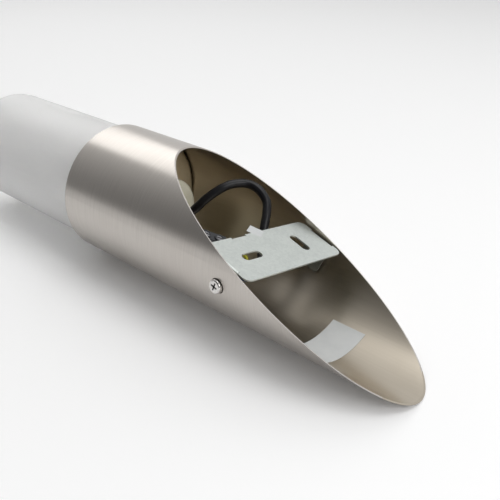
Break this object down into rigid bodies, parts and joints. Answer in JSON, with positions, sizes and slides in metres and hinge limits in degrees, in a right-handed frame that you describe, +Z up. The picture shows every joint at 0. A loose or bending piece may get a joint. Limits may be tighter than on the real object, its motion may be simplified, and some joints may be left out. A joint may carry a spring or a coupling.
{
  "type": "uplighter wall sconce",
  "caption": "Wall sconce: a leaning brushed steel tube cut flat to the wall, holding an upright opal cylinder over a lampholder, on a hidden swinging wall bracket with slots.",
  "frame": {"origin": "centre of the oval that the tube's slanted cut makes on the wall, on the tube's axis", "axes": "+Y into the wall, square to the slanted cut; +Z up the wall, toward the tube's open mouth; +X level, to the right as seen from the room"},
  "size_m": [0.0784, 0.1402, 0.3299],
  "materials": {
    "steel": "brushed, satin",
    "cup_steel": "plain pressed",
    "seal_rubber": "matt",
    "opal": "opal white, satin",
    "cream": "moulded, semi-gloss",
    "ceramic_insert": "unglazed",
    "zinc_screws": "zinc plated",
    "brass": "bright",
    "core_brown": "smooth",
    "core_blue": "smooth",
    "core_green": "smooth, green and yellow",
    "bush_rubber": "matt",
    "lead_rubber": "satin",
    "block_plastic": "moulded",
    "zinc_sheet": "zinc plated",
    "screw_steel": "bright",
    "tinned": "tinned",
    "label_paper": "matt film"
  },
  "bodies": {
    "tube": {"body_tube": "steel", "partition_cup": "cup_steel", "seal_ring": "seal_rubber", "holder_cap": "cream", "holder_shell": "cream", "holder_insert": "ceramic_insert", "holder_screws": "zinc_screws", "lamp_sleeve": "brass", "centre_contact": "brass", "side_contact": "brass", "holder_core_live": "core_brown", "holder_core_neutral": "core_blue", "cable_bush": "bush_rubber", "lead_cable": "lead_rubber", "core_live": "core_brown", "core_neutral": "core_blue", "terminal_block": "block_plastic", "terminal_tubes": "brass", "terminal_screws": "zinc_screws", "data_label": "label_paper"},
    "glass": {"diffuser": "opal"},
    "bracket": {"wall_bracket": "zinc_sheet", "side_screw_right": "screw_steel", "side_screw_left": "screw_steel", "earth_screw": "zinc_screws", "earth_lug": "tinned", "core_earth": "core_green", "earth_label": "label_paper"}
  },
  "joints": [
    {"name": "bracket_swing", "type": "hinge", "parent": "tube", "child": "bracket", "pos_m": [0, -0.014, 0.0077], "axis": [1, 0, 0], "range_deg": [-16, 3]},
    {"name": "diffuser_lift", "type": "slide", "parent": "tube", "child": "glass", "axis": [0, -0.4337, 0.9011], "range_m": [0, 0.022]}
  ]
}
